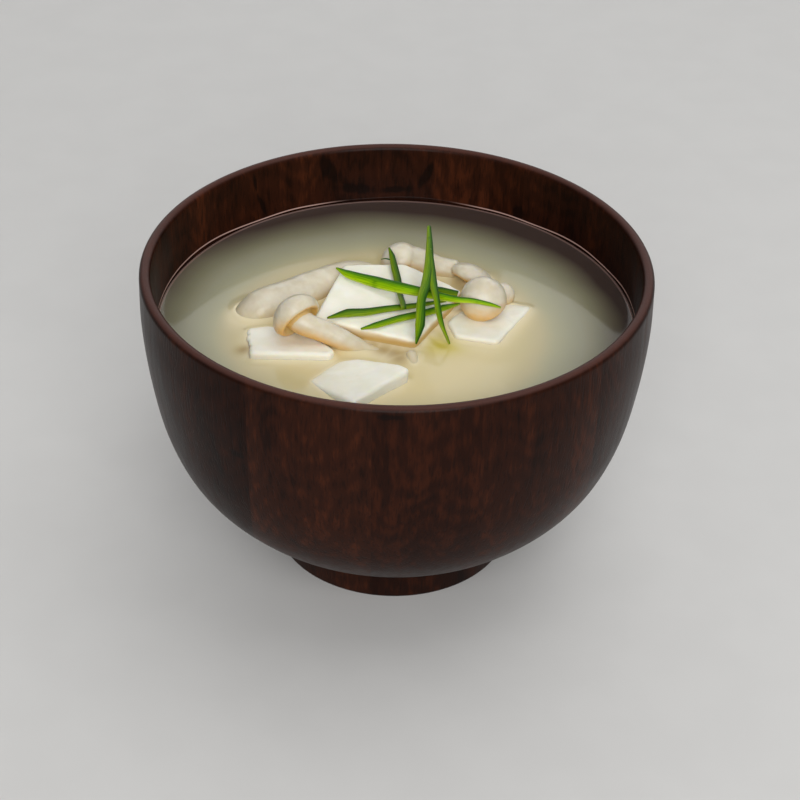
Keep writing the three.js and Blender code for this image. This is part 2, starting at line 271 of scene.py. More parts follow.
def loft(rings):
    """A closed mesh through rings of points, its ends closed by fans."""
    count = len(rings[0])
    faces = []
    for i in range(len(rings) - 1):
        for j in range(count):
            a, b = i * count + j, i * count + (j + 1) % count
            faces.append([a, b, b + count, a + count])
    first, last = len(rings) * count, len(rings) * count + 1
    for j in range(count):
        following = (j + 1) % count
        end = (len(rings) - 1) * count
        faces.append([first, following, j])
        faces.append([last, end + j, end + following])
    return np.vstack([*rings, np.mean(rings[0], axis=0), np.mean(rings[-1], axis=0)]), faces


def lathe(profile, sides):
    """A closed mesh turned about Z from (radius, height) points that start and end on the axis."""
    turns = np.linspace(0, 2 * math.pi, sides, endpoint=False)
    rings = [
        np.column_stack([r * np.cos(turns), r * np.sin(turns), np.full(sides, h)])
        for r, h in profile[1:-1]
    ]
    points, faces = loft(rings)
    points[-2] = [0, 0, profile[0][1]]
    points[-1] = [0, 0, profile[-1][1]]
    return points, faces


def fused(parts, voxel, smoothing):
    """The common outer surface of closed parts, made again at a voxel size and smoothed."""
    points, faces = joined(parts)
    mesh = bpy.data.meshes.new("fusing")
    mesh.from_pydata(points.tolist(), [], faces)
    rough = bpy.data.objects.new("fusing", mesh)
    bpy.context.scene.collection.objects.link(rough)
    remesh = rough.modifiers.new("voxels", "REMESH")
    remesh.mode = "VOXEL"
    remesh.voxel_size = voxel
    soften = rough.modifiers.new("smoothing", "SMOOTH")
    soften.factor = 0.5
    soften.iterations = smoothing
    bpy.context.view_layer.update()
    made = rough.evaluated_get(bpy.context.evaluated_depsgraph_get()).to_mesh()
    points = np.array([v.co for v in made.vertices])
    faces = [list(p.vertices) for p in made.polygons]
    bpy.data.objects.remove(rough)
    bpy.data.meshes.remove(mesh)
    return points, faces


def normals_of(points, faces):
    """The direction out of the surface at each point."""
    mesh = bpy.data.meshes.new("measuring")
    mesh.from_pydata(points.tolist(), [], faces)
    found = np.array([v.normal for v in mesh.vertices])
    bpy.data.meshes.remove(mesh)
    return found


def roughened(points, faces, size, height, seed):
    """Points moved in or out by a soft random relief of a given size and height."""
    shift = Vector((seed * 31.7, seed * 17.3, seed * 5.9))
    relief = np.array([noise.fractal(Vector(p) / size + shift, 1, 2, 3) for p in points])
    return points + normals_of(points, faces) * (height * relief)[:, None]


def add_piece(name, shape, material, node, values=()):
    """Makes a piece of (points, faces) that stands for a CAD node and rides on the body."""
    points, faces = shape
    mesh = bpy.data.meshes.new(name)
    mesh.from_pydata((np.asarray(points) * MM).tolist(), [], faces)
    for attribute, numbers in dict(values).items():
        layer = mesh.attributes.new(attribute, "FLOAT", "POINT")
        layer.data.foreach_set("value", np.asarray(numbers, np.float32))
    mesh.materials.append(material)
    mesh.shade_smooth()
    piece = bpy.data.objects.new(name, mesh)
    bpy.context.scene.collection.objects.link(piece)
    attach(piece, "root")
    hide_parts(node)


# ---- Materials ----


def rgb(red, green, blue):
    """A colour given as it looks on screen, 0 to 255, as the linear colour that a shader takes."""
    shares = np.array([red, green, blue]) / 255
    linear = np.where(shares > 0.04045, ((shares + 0.055) / 1.055) ** 2.4, shares / 12.92)
    return (*linear.tolist(), 1.0)


class Finish:
    """A node material under the Principled shader."""

    def __init__(self, name, **settings):
        self.material = bpy.data.materials.new(name)
        self.material.use_nodes = True
        self.tree = self.material.node_tree
        self.shader = self.tree.nodes["Principled BSDF"]
        for socket, value in settings.items():
            self.shader.inputs[socket.replace("_", " ")].default_value = value

    def node(self, kind, output=0, inputs=(), **options):
        """Adds a node, sets its options, fills or links its inputs and gives one output."""
        made = self.tree.nodes.new("ShaderNode" + kind)
        for option, value in options.items():
            setattr(made, option, value)
        for socket, value in dict(inputs).items():
            self.set(made.inputs[socket], value)
        return made.outputs[output]

    def set(self, socket, value):
        if isinstance(value, bpy.types.NodeSocket):
            self.tree.links.new(value, socket)
        else:
            socket.default_value = value

    def place(self, scale=(1, 1, 1)):
        """The point in the part's own frame, in metres, stretched by scale."""
        return self.node("Mapping", inputs={
            "Vector": self.node("TexCoord", output="Object"), "Scale": scale})

    def away_from(self, x, y):
        """How far a point is, in metres, from the upright line at x and y in millimetres."""
        apart = self.node("VectorMath", operation="SUBTRACT", inputs={
            0: self.place((1, 1, 0)), 1: (x * MM, y * MM, 0)})
        return self.node("VectorMath", output="Value", operation="LENGTH", inputs={0: apart})

    def noise(self, vector, scale, detail):
        return self.node("TexNoise", inputs={"Vector": vector, "Scale": scale, "Detail": detail})

    def math(self, operation, a, b=0.0, c=0.0):
        return self.node("Math", operation=operation, inputs={0: a, 1: b, 2: c})

    def value(self, attribute):
        return self.node("Attribute", output="Fac", attribute_name=attribute)

    def ramp(self, value, stops, interpolation="EASE"):
        """A colour or grey by value, from (place, colour) stops."""
        made = self.tree.nodes.new("ShaderNodeValToRGB")
        made.color_ramp.interpolation = interpolation
        elements = made.color_ramp.elements
        while len(elements) < len(stops):
            elements.new(1)
        for element, (place, colour) in zip(elements, stops):
            element.position = place
            element.color = colour if hasattr(colour, "__len__") else (colour, colour, colour, 1)
        self.set(made.inputs[0], value)
        return made.outputs[0]

    def between(self, value, low, high):
        """0 at low and before it, 1 at high and beyond it, smooth between; low may be the larger."""
        return self.node("MapRange", interpolation_type="SMOOTHSTEP", inputs={
            "Value": value, "From Min": low, "From Max": high})

    def mix(self, share, a, b, blend="MIX"):
        """Two colours blended by share, through the Mix node's colour sockets."""
        return self.node("Mix", output=2, data_type="RGBA", blend_type=blend, inputs={
            0: share, 6: a, 7: b})

    def facing_up(self):
        """The upward part of the surface's direction, from -1 to 1."""
        normal = self.node("NewGeometry", output="Normal")
        return self.node("SeparateXYZ", output="Z", inputs={0: normal})

    def soaked(self, colour, reach, share, soup):
        """The colour, turning to the soup's in the last reach of millimetres above it."""
        height = self.node("SeparateXYZ", output="Z", inputs={0: self.place()})
        wet = self.between(height, (SOUP_LEVEL + reach) * MM, (SOUP_LEVEL - 0.2) * MM)
        return self.mix(self.math("MULTIPLY", wet, share), colour, soup)

    def colour(self, value):
        self.set(self.shader.inputs["Base Color"], value)

    def roughness(self, value):
        self.set(self.shader.inputs["Roughness"], value)

    def bump(self, height, depth, strength):
        self.set(self.shader.inputs["Normal"], self.node("Bump", inputs={
            "Height": height, "Distance": depth, "Strength": strength}))


# ---- The bowl ----

# Blocks that the wood was glued up from: where the seams are along X, and each block's tone.
FRONT_SEAMS = [-30.6, -4.8, 17.6, 43]
FRONT_TONES = [0.55, 0.9, 0.58, 0.72, 0.6]
BACK_SEAMS = [-44, -34.4, -15.5, 22.3, 30.5, 39]
BACK_TONES = [1, 0.85, 0.95, 0.9, 0.65, 0.8, 0.6]
# Dark marks in the wood: the middle, the half lengths along X, Y and Z, and how many degrees
# the mark leans towards +X on its way up.
MARKS = [
    ((-34.8, 42.3, 70.4), (0.45, 3, 3), -6),
    ((-33.5, 43.2, 64.2), (0.6, 3, 3.8), -16),
    ((-17.4, 51.9, 69.4), (2, 4, 4.6), -28),
    ((-10.5, 53.6, 63.2), (5.8, 4, 1.6), 8),
    ((-1, 54.4, 62.6), (5.5, 4, 1.2), -4),
    ((6.8, 54.1, 67), (1.3, 4, 4.8), 27),
    ((29.8, 45.5, 61.6), (1.9, 3, 1.8), 0),
    ((-33, -46.2, 54.4), (2.2, 4, 1.2), 0),
    ((-0.8, -57.4, 72.4), (3, 2, 0.9), 0),
]
RING_SPACING = 3.4
# The film of soup on the wall's inside, which is all that lies within WALL_MIDDLE of the axis: how
# high its wavy top is over the soup on average, and half the width of the pale line painted there
# as a highlight.
WALL_MIDDLE = 56
FILM_HEIGHT = 1.5
TIDE_HIGHLIGHT = 0.22


def block_tones(wood, x, y):
    """The tone of the block that a point lies in, by the seams in front and behind."""
    reach = RIM_RADIUS * MM
    share = wood.node("MapRange", inputs={"Value": x, "From Min": -reach, "From Max": reach})
    sides = []
    for seams, tones in [(FRONT_SEAMS, FRONT_TONES), (BACK_SEAMS, BACK_TONES)]:
        starts = [0, *((seam + RIM_RADIUS) / (2 * RIM_RADIUS) for seam in seams)]
        sides.append(wood.ramp(share, list(zip(starts, tones)), "CONSTANT"))
    return wood.mix(wood.math("GREATER_THAN", y, 0.0), *sides)


def grain(wood, tone, length, size, detail=3.0):
    """Noise drawn out along Z, length being its scale that way, and different in each block."""
    own = wood.node("CombineXYZ", inputs={0: tone, 1: wood.math("MULTIPLY", tone, 3.1), 2: tone})
    moved = wood.node("VectorMath", operation="ADD", inputs={
        0: wood.place((1, 1, length)), 1: own})
    return wood.noise(moved, size, detail)


def marked(wood, streaks, dark):
    """How dark a point is, 1 where it lies in one of the marks, whose edges the streaks fray."""
    for middle, half, lean in MARKS:
        inside = wood.node("Mapping", vector_type="TEXTURE", inputs={
            "Vector": wood.node("TexCoord", output="Object"), "Location": [c * MM for c in middle],
            "Rotation": (0, math.radians(lean), 0), "Scale": [c * MM for c in half]})
        away = wood.node("VectorMath", output="Value", operation="LENGTH", inputs={0: inside})
        frayed = wood.math("MULTIPLY_ADD", streaks, 1.6, away)
        dark = wood.math("MAXIMUM", dark, wood.between(frayed, 1.9, 1.3))
    return dark


def soup_film(wood, x, z):
    """Where soup has wetted the wall's inside, and a painted highlight line along the film's top,
    left out in the middle.
    """
    inner = wood.math(
        "MULTIPLY", wood.math("LESS_THAN", wood.away_from(0, 0), WALL_MIDDLE * MM),
        wood.math("GREATER_THAN", z, (SOUP_LEVEL - 2) * MM))
    wave = wood.noise(wood.place((1, 1, 0)), 28, 1.0)
    top = wood.math("MULTIPLY_ADD", wave, 2 * FILM_HEIGHT * MM, SOUP_LEVEL * MM)
    from_top = wood.math("SUBTRACT", z, top)
    wetted = wood.math("MULTIPLY", inner, wood.between(from_top, 0.1 * MM, -0.1 * MM))
    # Painted highlight: a pale line along the film's wavy top.
    line = wood.between(wood.math("ABSOLUTE", from_top), TIDE_HIGHLIGHT * MM, 0.08 * MM)
    away = wood.between(
        wood.math("ABSOLUTE", x), 0.2 * RIM_RADIUS * MM, 0.4 * RIM_RADIUS * MM)
    return wetted, wood.math("MULTIPLY", wood.math("MULTIPLY", inner, line), away)


def wood_finish():
    """Dark reddish wood under satin lacquer: blocks, growth rings, streaks, pores and marks, with
    painted highlights on the lip and along the soup film's top.
    """
    wood = Finish(
        "lacquered_wood", Specular_IOR_Level=0.06, Coat_Weight=0.025, Coat_Roughness=0.15)
    x, y, z = (wood.node("SeparateXYZ", output=way, inputs={0: wood.place()}) for way in "XYZ")
    tone = block_tones(wood, x, y)
    clouds = grain(wood, tone, 0.3, 60, 2.0)
    streaks = grain(wood, tone, 0.1, 520)
    flecks = grain(wood, tone, 0.22, 1300, 2.0)
    pores = wood.between(grain(wood, tone, 0.12, 2400, 1.0), 0.34, 0.44)
    bowed = wood.math("MULTIPLY_ADD", clouds, 0.03, wood.math("MULTIPLY", wood.math(
        "POWER", wood.math("ABSOLUTE", x), 2.0), 6.0))
    rings = wood.math("SINE", wood.math(
        "MULTIPLY", wood.math("MULTIPLY_ADD", z, 0.5, bowed), 2 * math.pi / (RING_SPACING * MM)))

    figure = wood.math("MULTIPLY_ADD", rings, 0.03, wood.math("MULTIPLY", clouds, 0.42))
    figure = wood.math("MULTIPLY_ADD", streaks, 0.36, figure)
    figure = wood.math("MULTIPLY_ADD", flecks, 0.22, figure)
    body = wood.ramp(figure, [
        (0.36, rgb(29, 12, 6)), (0.5, rgb(45, 20, 10)), (0.66, rgb(68, 32, 16))])
    shade = wood.ramp(tone, [(0.3, rgb(140, 128, 124)), (1, rgb(255, 255, 255))], "LINEAR")
    toned = wood.mix(1.0, body, shade, "MULTIPLY")
    dark = marked(wood, streaks, wood.math("MULTIPLY_ADD", pores, -0.45, 0.45))
    coloured = wood.mix(wood.math("MULTIPLY", dark, 0.8), toned, rgb(14, 6, 4))

    wetted, tide_highlight = soup_film(wood, x, z)
    filmed = wood.mix(wood.math("MULTIPLY", wetted, 0.6), coloured, rgb(20, 8, 5))
    # Painted highlight along the top of the soup's film.
    highlighted = wood.mix(tide_highlight, filmed, rgb(172, 140, 130))
    # Painted highlight: a pale mauve band over the top of the lip.
    lip_highlight = wood.between(z, (LIP_START + 0.6) * MM, BOWL_HEIGHT * MM)
    wood.colour(wood.mix(wood.math("MULTIPLY", lip_highlight, 0.6), highlighted, rgb(92, 62, 56)))
    dry = wood.math("MULTIPLY_ADD", streaks, 0.2, 0.26)
    wood.roughness(wood.math("MULTIPLY_ADD", wetted, -0.2, dry))
    wood.bump(wood.math("MULTIPLY_ADD", wetted, 4.0, pores), 0.00004, 0.4)
    return wood.material


def make_bowl():
    """The bowl's profile, from the middle of its underside round the lip to its inside."""
    ring_inside = FOOT_RADIUS - FOOT_RING
    foot = [
        [0, FOOT_RECESS], [ring_inside - FOOT_CHAMFER, FOOT_RECESS],
        [ring_inside - 0.15, 0.2], [ring_inside, 0], [FOOT_RADIUS - FOOT_CHAMFER, 0],
        [FOOT_RADIUS - 0.2, 0.15], [FOOT_RADIUS, FOOT_CHAMFER], [FOOT_RADIUS, FOOT_BAND - 0.4],
        [FOOT_RADIUS + 0.1, FOOT_BAND],
    ]
    lip_radius = RIM_WALL / 2
    turns = np.linspace(0, math.pi, LIP_STEPS + 1)[1:-1]
    lip = np.column_stack([
        RIM_RADIUS - lip_radius + lip_radius * np.cos(turns),
        LIP_START + lip_radius * np.sin(turns)])
    outside = smooth_line(OUTSIDE, WALL_STEPS)[:, ::-1]
    inside = smooth_line(INSIDE, WALL_STEPS)[::-1, ::-1]
    return lathe(np.vstack([foot, outside, lip, inside, [[0, INSIDE_BOTTOM]]]), BOWL_SIDES)


# ---- Food shapes ----


def tofu_outline(corners, ragged, inset):
    """The outline in plan with eased corners, each side cut into short steps."""
    corners = np.asarray(corners, float)
    centre = corners.mean(axis=0)
    outline = []
    for i, corner in enumerate(corners):
        following = corners[(i + 1) % len(corners)]
        to_last = unit(corners[i - 1] - corner) * TOFU_CORNER + corner
        to_next = unit(following - corner) * TOFU_CORNER + corner
        for t in np.linspace(0, 1, CORNER_STEPS + 1):
            outline.append((1 - t) ** 2 * to_last + 2 * t * (1 - t) * corner + t ** 2 * to_next)
        end = unit(corner - following) * TOFU_CORNER + following
        for t in np.linspace(0, 1, SIDE_STEPS + 1)[1:-1]:
            point = (1 - t) * to_next + t * end
            if i == ragged:
                tear = noise.fractal(Vector((t * TEAR_BITES, 3.3, 0)), 0.7, 2, 4)
                point = point + unit(centre - corner) * TEAR_DEPTH * tear
            outline.append(point)
    outline = np.array(outline)
    way = unit(np.roll(outline, -1, axis=0) - np.roll(outline, 1, axis=0))
    return outline - inset * np.column_stack([way[:, 1], -way[:, 0]])


def make_tofu(corners, top, slope, depth, stain_and_shade, ragged=None):
    """A block of tofu with eased edges and an uneven surface, and how strongly each point is
    coloured by the soup and by painted shade.
    """
    eased = 0.3 * TOFU_EDGE
    rings = []
    for inset, height in [
        (TOFU_EDGE, -depth), (eased, eased - depth), (0, TOFU_EDGE - depth),
        (0, -TOFU_EDGE), (eased, -eased), (TOFU_EDGE, 0),
    ]:
        plan = tofu_outline(corners, ragged, inset)
        lift = SOUP_LEVEL + top + height + plan @ np.asarray(slope, float)
        rings.append(np.column_stack([plan, lift]))
    points, faces = fused([loft(rings)], TOFU_VOXEL, TOFU_SMOOTHING)
    points = roughened(points, faces, *TOFU_RELIEF, seed=corners[0][0])
    return (points, faces), np.interp(points[:, 2] - SOUP_LEVEL, STAIN_AND_SHADE_FADES, [stain_and_shade, 0])


def make_stem(stem, radii):
    """A round stem with rounded ends along a smooth line."""
    steps = STEM_STEPS * len(stem)
    line = smooth_line(over_soup(stem), steps)
    along, side, up = across(line)
    radius = spread(radii, steps)
    centres = [
        line[0] - along[0] * STEM_END * radius[0], *line,
        line[-1] + along[-1] * STEM_END * radius[-1]]
    radius = np.concatenate([[radius[0] * STEM_END], radius, [radius[-1] * STEM_END]])
    side = np.vstack([side[0], side, side[-1]])
    up = np.vstack([up[0], up, up[-1]])
    turns = np.linspace(0, 2 * math.pi, STEM_SIDES, endpoint=False)
    return loft([
        centre + r * (np.outer(np.cos(turns), s) + np.outer(np.sin(turns), u))
        for centre, r, s, u in zip(centres, radius, side, up)
    ])


def make_cap(at, toward, radius, height):
    """A domed cap with a rolled-in margin."""
    hollow = smooth_line(CAP_HOLLOW, HOLLOW_STEPS)
    dome = smooth_line(CAP_DOME, DOME_STEPS)
    points, faces = lathe(np.vstack([hollow, dome]) * [radius, height], CAP_SIDES)
    turn = Vector((0, 0, 1)).rotation_difference(Vector(toward))
    return points @ np.array(turn.to_matrix()).T + over_soup(at), faces


def make_mushroom(stem, radii, cap=None):
    """A mushroom as one surface, and how far into the hollow under its cap each point lies, for the
    painted shade there.
    """
    parts = [make_stem(stem, radii)]
    if cap:
        parts.append(make_cap(**cap))
    points, faces = fused(parts, MUSHROOM_VOXEL, MUSHROOM_SMOOTHING)
    hollow = np.zeros(len(points))
    if cap:
        from_margin = points - over_soup(cap["at"])
        axis = unit(np.array(cap["toward"]))
        along = from_margin @ axis
        out = np.linalg.norm(from_margin - np.outer(along, axis), axis=1)
        in_width = (HOLLOW_SHADE_WIDTH - out / cap["radius"]) / HOLLOW_SHADE_WIDTH_FADE
        in_depth = (HOLLOW_SHADE_DEPTH - along / cap["height"]) / HOLLOW_SHADE_DEPTH_FADE
        hollow = np.clip(in_width, 0, 1) * np.clip(in_depth, 0, 1) * (along > -0.3)
    return (roughened(points, faces, *MUSHROOM_RELIEF, seed=stem[0][1]), faces), hollow


def make_sliver(path, widths, lean):
    """A thin strip of leaf, arched across, with each point's place across it and along it."""
    steps = SLIVER_STEPS * (len(path) - 1)
    line = smooth_line(over_soup(path), steps)
    along, side, up = across(line)
    width = spread(widths, steps)
    half = np.minimum(SLIVER_THICKNESS, width) / 2
    around = np.linspace(-1, 1, SLIVER_ACROSS + 1)
    run = np.concatenate([[0], np.cumsum(np.linalg.norm(np.diff(line, axis=0), axis=1))])
    rings = []
    for i in range(steps + 1):
        turn = Quaternion(Vector(along[i]), math.radians(lean)).to_matrix()
        flat, lift = np.array(turn @ Vector(side[i])), np.array(turn @ Vector(up[i]))
        middle = line[i] + np.outer(around * width[i] / 2, flat)
        arch = SLIVER_ARCH * width[i] * (1 - np.abs(around))
        over = half[i] * np.sqrt(1 - 0.75 * around ** 6)
        top, under = (middle + np.outer(arch + way * over, lift) for way in (1, -1))
        rings.append(np.vstack([top[::-1], under]))
    sideways = np.tile(np.concatenate([around[::-1], around]), steps + 1)
    lengthways = np.repeat(run, 2 * len(around))
    return loft(rings), np.array([*sideways, 0, 0]), np.array([*lengthways, 0, run[-1]])


def make_scallion(legs):
    """A sliver of one or more legs, with each point's place across it and along it."""
    made = [make_sliver(**leg) for leg in legs]
    shapes, sideways, lengthways = zip(*made)
    return joined(shapes), {"across": np.concatenate(sideways), "along": np.concatenate(lengthways)}


# ---- The soup's surface ----

DOWN = Vector((0, 0, -1))
# The way that a look from the front goes on under the surface, which bends it downwards.
LOOK = Vector((0, 0.61, -0.79))

SOUP_CELLS = 300
# How far the surface runs into the wall, and how far the body under it stays off the bowl.
SOUP_INTO_WALL = 0.15
SOUP_OFF_WALL = 0.1
SOUP_OFF_BOTTOM = 0.2
# How far the soup climbs up the wall, and how soon that dies away from it.
MENISCUS_RISE = 0.8
MENISCUS_FALL = 1.9
# How far it climbs up the food: a share of how far the food stands out, kept between a least and
# a most. Then how soon that dies away, and by how many cells it is softened.
CLIMB_SHARE = 0.7
CLIMB_LEAST = 0.02
CLIMB_MOST = 0.6
CLIMB_FALL = 1.1
CLIMB_SOFTENING = 1.0
# The reach through soup that hides most of the food, for its outline and for the pale blur that
# it becomes, the strength of that blur, and the most that shows of it.
NEAR_REACH = 1.3
FAR_REACH = 3
HALO = 1.05
HALO_LIMIT = 0.96
# How widely the outline, the blur and the painted warm glow of light round the food are spread.
OUTLINE_SPREAD = 0.5
HALO_SPREAD = 1.3
GLOW_SPREAD = 5.0
# What tints the soup in spots, each with its middle as x and y, and its reach: a bit of leaf
# under the surface, and the shade beside the left tofu and along the front of the middle one.
LEAFY_SPOTS = [(10.5, -9.5, 4.2)]
SHADY_SPOTS = [
    (-33.9, -13.8, 1.9), (-5, -11.4, 2), (-2.6, -12.6, 2.6), (-0.3, -13.9, 2.6), (0.9, -16, 2.3),
]


def disc(cells):
    """A square grid of points, drawn out evenly to a disc of radius 1."""
    side = np.linspace(-1, 1, cells + 1)
    u, v = np.meshgrid(side, side, indexing="ij")
    wide = np.abs(u) > np.abs(v)
    radius = np.where(wide, u, v)
    with np.errstate(divide="ignore", invalid="ignore"):
        turn = np.where(wide, math.pi / 4 * v / u, math.pi / 2 - math.pi / 4 * u / v)
    turn = np.nan_to_num(turn)
    return radius * np.cos(turn), radius * np.sin(turn)


def blurred(field, cells):
    """A grid of values softened by a Gaussian whose spread is a number of cells."""
    reach = int(3 * cells) + 1
    weights = np.exp(-0.5 * (np.arange(-reach, reach + 1) / cells) ** 2)
    weights /= weights.sum()
    for _ in range(2):
        padded = np.pad(field, ((reach, reach), (0, 0)), mode="edge")
        field = sum(w * padded[i:i + len(field)] for i, w in enumerate(weights)).T
    return field


def waterline(shapes):
    """Points where the food comes through the soup's level."""
    found = []
    for points, faces in shapes:
        edges = np.array([
            [a, b] for face in faces for a, b in zip(face, [*face[1:], face[0]]) if a < b])
        low, high = points[edges[:, 0]], points[edges[:, 1]]
        below, above = low[:, 2] - SOUP_LEVEL, high[:, 2] - SOUP_LEVEL
        crosses = below * above < 0
        share = (below[crosses] / (below[crosses] - above[crosses]))[:, None]
        found.append(low[crosses] + share * (high[crosses] - low[crosses]))
    return np.vstack(found)


def climbs(shapes, tree):
    """The waterline, and how far the soup climbs there, by the food's height 1 mm round it."""
    line = waterline(shapes)
    lookup = KDTree(len(line))
    rise = np.zeros(len(line))
    for i, point in enumerate(line):
        lookup.insert(point, i)
        tops = [0.0]
        for turn in np.linspace(0, 2 * math.pi, 8, endpoint=False):
            above = Vector((point[0] + math.cos(turn), point[1] + math.sin(turn), BOWL_HEIGHT))
            hit = tree.ray_cast(above, DOWN)[0]
            if hit is not None:
                tops.append(hit.z - SOUP_LEVEL)
        rise[i] = np.clip(CLIMB_SHARE * max(tops), CLIMB_LEAST, CLIMB_MOST)
    lookup.balance()
    return lookup, rise


def climbed(x, y, food, tree):
    """How far the soup climbs at each point because of the food near it."""
    lookup, rise = climbs(food, tree)
    climb = np.zeros(x.shape)
    for i, j in np.ndindex(x.shape):
        _, index, distance = lookup.find((x[i, j], y[i, j], SOUP_LEVEL))
        climb[i, j] = rise[index] * math.exp(-distance / CLIMB_FALL)
    return climb


def seen_through(x, y, trees):
    """How clearly food shows under the surface at each point, by its outline and by its blur."""
    near, far = np.zeros(x.shape), np.zeros(x.shape)
    for i, j in np.ndindex(x.shape):
        place = Vector((x[i, j], y[i, j], SOUP_LEVEL))
        hits = (tree.ray_cast(place, LOOK) for tree in trees)
        hit, normal, _, reach = next((h for h in hits if h[0] is not None), [None] * 4)
        if hit is not None:
            cover = reach if normal.dot(LOOK) < 0 else 0
            near[i, j] = math.exp(-cover / NEAR_REACH)
            far[i, j] = math.exp(-cover / FAR_REACH)
    return near, far


def spotted(x, y, spots):
    """How strongly a point is tinted by the nearest of some round spots."""
    return np.max([
        np.exp(-((x - at_x) ** 2 + (y - at_y) ** 2) / reach ** 2) for at_x, at_y, reach in spots
    ], axis=0)


def soup_body(x, y, height, edge):
    """A closed body from the grid of the surface down the inside of the bowl."""
    index = np.arange(x.size).reshape(x.shape)
    faces = np.stack([index[:-1, :-1], index[1:, :-1], index[1:, 1:], index[:-1, 1:]], axis=-1)
    faces = faces.reshape(-1, 4).tolist()
    upper = [*index[:-1, 0], *index[-1, :-1], *index[:0:-1, -1], *index[0, :0:-1]]
    rings = [np.column_stack([x.ravel(), y.ravel(), height.ravel()])]
    rim = rings[0][upper]
    lower = [[h, r] for h, r in smooth_line(INSIDE, 10)[::-1] if h < SOUP_LEVEL - 2]
    start = x.size
    for level, radius in [*lower, [INSIDE_BOTTOM + SOUP_OFF_BOTTOM, 0.5]]:
        rings.append(np.column_stack([
            rim[:, :2] * ((radius - SOUP_OFF_WALL) / edge), np.full(len(rim), level)]))
        ring = list(range(start, start + len(rim)))
        for k, after in zip(range(len(rim)), [*range(1, len(rim)), 0]):
            faces.append([upper[after], upper[k], ring[k], ring[after]])
        upper, start = ring, start + len(rim)
    faces.append(upper[::-1])
    return np.vstack(rings), faces


def make_soup(food, sunk):
    """The soup as a closed body, with what shows of the food under its surface at each point, and
    where a glow and shade round the food are painted.
    """
    edge = np.interp(SOUP_LEVEL, *smooth_line(INSIDE, WALL_STEPS).T) + SOUP_INTO_WALL
    x, y = (edge * way for way in disc(SOUP_CELLS))
    tree, sunk_tree = (
        BVHTree.FromPolygons(*(list(map(list, part)) for part in joined(shapes)))
        for shapes in (food, [sunk]))
    climb = climbed(x, y, food, tree)
    near, far = seen_through(x, y, [tree, sunk_tree])
    cell = 2 * edge / SOUP_CELLS
    from_wall = edge - np.hypot(x, y)
    height = (SOUP_LEVEL + blurred(climb, CLIMB_SOFTENING)
              + MENISCUS_RISE * np.exp(-from_wall / MENISCUS_FALL))
    body = soup_body(x, y, height, edge)
    fields = {
        "sight": np.maximum(
            blurred(near, OUTLINE_SPREAD / cell),
            np.minimum(HALO * blurred(far, HALO_SPREAD / cell), HALO_LIMIT)),
        "glow": blurred(far, GLOW_SPREAD / cell),
        "leafy": spotted(x, y, LEAFY_SPOTS),
        "shady": spotted(x, y, SHADY_SPOTS),
    }
    below = np.zeros(len(body[0]) - x.size)
    return body, {name: np.concatenate([field.ravel(), below]) for name, field in fields.items()}


# The soup's colour by how far from its palest point: darker towards the wall, partly as the dark
# wood shows through the thinner soup there and partly as painted shade of the wall, with a painted
# reflection of the dark wall at the very edge.
PALEST_AT = (-2.5, -5)
SOUP_COLOURS_AND_SHADE = [
    (24, rgb(217, 201, 151)), (31, rgb(204, 191, 146)), (35, rgb(193, 182, 144)),
    (38.5, rgb(173, 169, 139)), (41.5, rgb(161, 159, 133)), (44.3, rgb(151, 149, 126)),
    (46.7, rgb(138, 135, 111)), (48.6, rgb(124, 121, 98)), (52, rgb(98, 91, 76)),
    (55, rgb(64, 52, 47)),
]
# From this radius a pale pinkish line is painted where the soup meets the wall: a painted highlight
# on its meniscus.
WALL_HIGHLIGHT_AT = 53.7


def soup_finish():
    """Cloudy miso: creamy in the middle, olive-grey by the wall with painted shade, with what is
    sunk showing, a painted glow and painted shade round the food, and a painted highlight where it
    meets the wall.
    """
    soup = Finish(
        "miso_soup", Roughness=0.08, IOR=1.34, Subsurface_Weight=0.3,
        Subsurface_Radius=(1.0, 0.8, 0.45), Subsurface_Scale=0.0006)
    drift = soup.noise(soup.place(), 34, 2.0)
    drifted = soup.math(
        "MULTIPLY_ADD", soup.math("SUBTRACT", drift, 0.5), 5 * MM, soup.away_from(*PALEST_AT))
    share = soup.math("DIVIDE", drifted, RIM_RADIUS * MM)
    # Painted shade: the soup darkens towards the wall, over the wood that shows through it.
    settled_and_shaded = soup.ramp(share, [(r / RIM_RADIUS, colour) for r, colour in SOUP_COLOURS_AND_SHADE], "LINEAR")
    # Painted light: a warm glow round the food, as of light that the food scatters into the soup.
    warm = soup.mix(
        soup.between(soup.value("glow"), 0.2, 0.9), settled_and_shaded, rgb(216, 197, 144))
    leafy = soup.mix(soup.math("MULTIPLY", soup.value("leafy"), 0.85), warm, rgb(206, 188, 60))
    seen = soup.mix(soup.value("sight"), leafy, rgb(234, 222, 188))
    shaded = soup.mix(soup.math("MULTIPLY", soup.value("shady"), 0.72), seen, rgb(154, 124, 60))
    # Painted highlight: a pale pinkish line on the meniscus along the wall.
    wall_highlight = soup.between(soup.away_from(0, 0), WALL_HIGHLIGHT_AT * MM, (WALL_HIGHLIGHT_AT + 0.25) * MM)
    soup.colour(soup.mix(soup.math("MULTIPLY", wall_highlight, 0.5), shaded, rgb(150, 120, 112)))
    return soup.material


